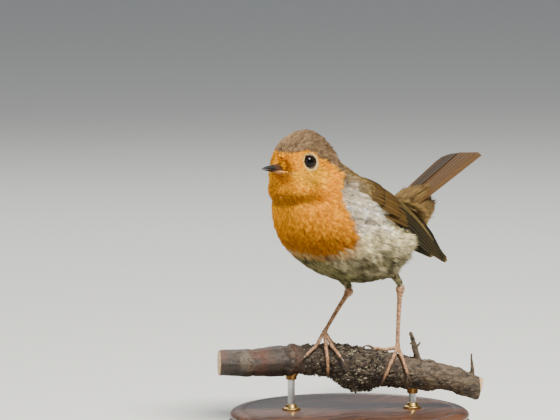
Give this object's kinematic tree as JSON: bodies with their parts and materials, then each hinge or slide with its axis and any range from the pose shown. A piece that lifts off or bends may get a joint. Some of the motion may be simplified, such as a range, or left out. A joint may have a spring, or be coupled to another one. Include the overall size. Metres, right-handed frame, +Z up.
{
  "type": "european robin on a perch",
  "caption": "Life-size still model of a European robin standing alert on a cut length of branch, on a plain round display stand.",
  "frame": {"origin": "centre of the underside of the round stand base", "axes": "+X from the bill towards the tail, the bird's left side faces -Y, +Z up; the bird faces -X"},
  "size_m": [0.1157, 0.1, 0.1249],
  "materials": {
    "plumage_orange": "orange breast and face feathers, matt and soft",
    "plumage_pale": "whitish belly and buff flank feathers, matt and soft",
    "plumage_olive": "olive-brown back and covert feathers, matt",
    "flight_feathers": "dark brown flight feathers with thin buff fringes",
    "tail_feathers": "rufous-brown tail feathers, faintly glossy",
    "eye": "wet black-brown eye",
    "bill_horn": "blackish horn, browner at its base",
    "leg_scales": "pinkish brown scaly skin",
    "claw_horn": "brown horn",
    "bark": "rough grey-brown bark",
    "stand_wood": "dark stained wood with a satin finish",
    "stand_steel": "brushed steel"
  },
  "bodies": {
    "root": {"head": "plumage_orange", "neck": "plumage_orange", "trunk": "plumage_pale", "eye_left": "eye", "eye_right": "eye", "bill_upper": "bill_horn", "bill_lower": "bill_horn", "wing_coverts_left": "plumage_olive", "wing_flight_left": "flight_feathers", "wing_coverts_right": "plumage_olive", "wing_flight_right": "flight_feathers", "tail": "tail_feathers", "perch": "bark", "stand_base": "stand_wood", "stand_rod_left": "stand_steel", "stand_rod_right": "stand_steel", "shin_left": "plumage_pale", "tarsus_left": "leg_scales", "foot_left": "leg_scales", "claw_inner_left": "claw_horn", "claw_middle_left": "claw_horn", "claw_outer_left": "claw_horn", "claw_hind_left": "claw_horn", "shin_right": "plumage_pale", "tarsus_right": "leg_scales", "foot_right": "leg_scales", "claw_inner_right": "claw_horn", "claw_middle_right": "claw_horn", "claw_outer_right": "claw_horn", "claw_hind_right": "claw_horn"}
  },
  "joints": []
}
